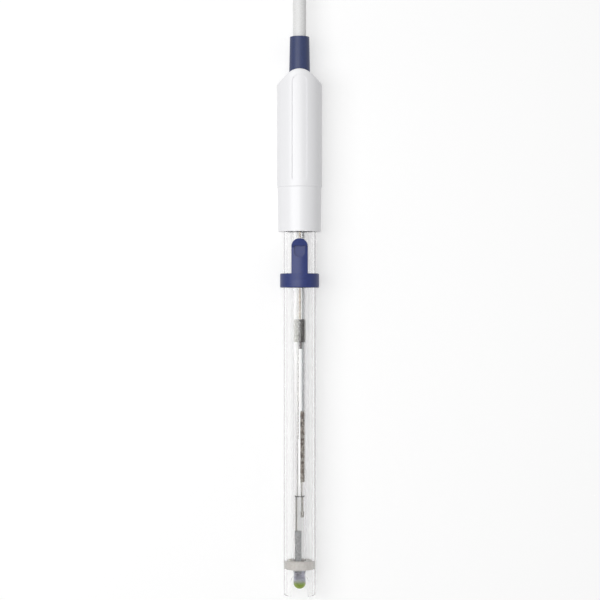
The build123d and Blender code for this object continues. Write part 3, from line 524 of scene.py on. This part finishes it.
def swollen(name, source, by_mm, finish):
    """A copy of a CAD piece, a hair thicker, so that its skin isn't lost in what holds it."""
    mesh = nodes[source].data.copy()
    mesh.name = name
    shape = bmesh.new()
    shape.from_mesh(mesh)
    bmesh.ops.remove_doubles(shape, verts=shape.verts, dist=MERGE_DISTANCE)
    shape.normal_update()
    for vert in shape.verts:
        vert.co += vert.normal * by_mm * MM
    shape.to_mesh(mesh)
    shape.free()
    mesh.materials.clear()
    mesh.materials.append(finish)
    made = bpy.data.objects.new(name, mesh)
    bpy.context.scene.collection.objects.link(made)
    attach(made, "electrode")
    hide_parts(source)
    return made


sleeve = swollen("shrink_sleeve", "black_sleeve", SLEEVE_SWELL, black_sleeve)

# The buffer in the stem stands up to its meniscus, and magnifies what is in it
buffer_liquid, buffer_shader = material(
    "buffer_solution", "#FFFFFF", Roughness=0.0, IOR=1.33, Transmission_Weight=1.0
)
# Painted shade: the buffer is coloured pale grey where it is seen edge-on
painted_edge_shade(buffer_liquid, buffer_shader, "#FFFFFF", "#C9C9CB")
BUFFER_RADIUS = 1.92
BUFFER_LOW = 6.4
BUFFER_SIDES = 64
MENISCUS = 37.7
MENISCUS_RISE = 0.5
MENISCUS_RIM = 0.35
MENISCUS_SLOPE = 0.6
RIM_SHARE = 0.7
SMOOTH_ANGLE = math.radians(40)
bpy.ops.object.select_all(action="DESELECT")
bpy.ops.mesh.primitive_cylinder_add(
    vertices=BUFFER_SIDES,
    radius=BUFFER_RADIUS * MM,
    depth=(MENISCUS - BUFFER_LOW) * MM,
    location=(0.0, along((MENISCUS + BUFFER_LOW) / 2), AXIS_Z * MM),
    rotation=(-math.pi / 2, 0.0, 0.0),
)
buffer = bpy.context.object
buffer.name = "inner_buffer"
bpy.ops.object.transform_apply(location=True, rotation=True, scale=True)
bpy.ops.object.mode_set(mode="EDIT")
bpy.ops.mesh.select_all(action="DESELECT")
shape = bmesh.from_edit_mesh(buffer.data)
for face in shape.faces:
    face.select = face.calc_center_median().y > along(MENISCUS - 0.1)
bmesh.update_edit_mesh(buffer.data)
bpy.ops.mesh.inset(thickness=MENISCUS_RIM * MM)
bpy.ops.transform.translate(value=(0.0, -RIM_SHARE * MENISCUS_RISE * MM, 0.0))
bpy.ops.mesh.inset(thickness=MENISCUS_SLOPE * MM)
bpy.ops.transform.translate(value=(0.0, -(1 - RIM_SHARE) * MENISCUS_RISE * MM, 0.0))
bpy.ops.object.mode_set(mode="OBJECT")
bpy.ops.object.shade_smooth_by_angle(angle=SMOOTH_ANGLE)
buffer.data.materials.append(buffer_liquid)
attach(buffer, "electrode")

# The floor and the room look bright to the camera and to what shines or shows through
def shown_rays(tree):
    """1 for the rays of the camera and those that shine or pass through, else 0."""
    ray = node(tree, "LightPath")
    seen = node(
        tree,
        "Math",
        {0: ray.outputs["Is Camera Ray"], 1: ray.outputs["Is Glossy Ray"]},
        operation="ADD",
    )
    shown = node(
        tree,
        "Math",
        {0: seen.outputs[0], 1: ray.outputs["Is Transmission Ray"]},
        operation="ADD",
        use_clamp=True,
    )
    return shown.outputs[0]


FLOOR_SIZE = 2.0
FLOOR_GLOW = 0.52
ROOM_LIGHT = 0.36
ROOM_SEEN = 0.95
ROOM_WHITE = (1.0, 1.0, 1.0, 1.0)

floor_mesh = bpy.data.meshes.new("floor")
floor_edit = bmesh.new()
bmesh.ops.create_grid(floor_edit, x_segments=1, y_segments=1, size=FLOOR_SIZE)
floor_edit.to_mesh(floor_mesh)
floor_edit.free()
floor = bpy.data.objects.new("floor", floor_mesh)
bpy.context.scene.collection.objects.link(floor)
floor_white, floor_shader = material("paper_white_floor", "#F4F4F4", Roughness=0.9)
floor_tree = floor_white.node_tree
glow = node(floor_tree, "Emission", strength=FLOOR_GLOW)
soft_floor = node(floor_tree, "BsdfDiffuse", color=linear("#BFBFBF"))
kept = node(floor_tree, "AddShader", {0: soft_floor.outputs[0], 1: glow.outputs[0]})
mixed = node(
    floor_tree,
    "MixShader",
    {0: shown_rays(floor_tree), 1: floor_shader.outputs[0], 2: kept.outputs[0]},
)
floor_tree.links.new(mixed.outputs[0], floor_tree.nodes["Material Output"].inputs["Surface"])
floor_mesh.materials.append(floor_white)

world = bpy.data.worlds.new("white_room")
bpy.context.scene.world = world
world.use_nodes = True
room = world.node_tree
background = room.nodes["Background"]
background.inputs["Color"].default_value = ROOM_WHITE
background.inputs["Strength"].default_value = ROOM_LIGHT
bright = node(room, "Background", color=ROOM_WHITE, strength=ROOM_SEEN)
room_mix = node(
    room,
    "MixShader",
    {0: shown_rays(room), 1: background.outputs[0], 2: bright.outputs[0]},
)
room.links.new(room_mix.outputs[0], room.nodes["World Output"].inputs["Surface"])


def area_lamp(name, place, aim, width, length, power):
    """A rectangular soft lamp, in metres and watts."""
    data = bpy.data.lights.new(name, "AREA")
    data.shape = "RECTANGLE"
    data.size = width
    data.size_y = length
    data.energy = power
    lamp = bpy.data.objects.new(name, data)
    bpy.context.scene.collection.objects.link(lamp)
    lamp.location = place
    lamp.rotation_euler = (Vector(aim) - Vector(place)).to_track_quat("-Z", "Y").to_euler()
    return lamp


area_lamp(
    "left_softbox",
    place=(-0.22, 0.05, 0.6),
    aim=(0.0, 0.0, 0.0),
    width=0.30,
    length=0.7,
    power=3.0,
)
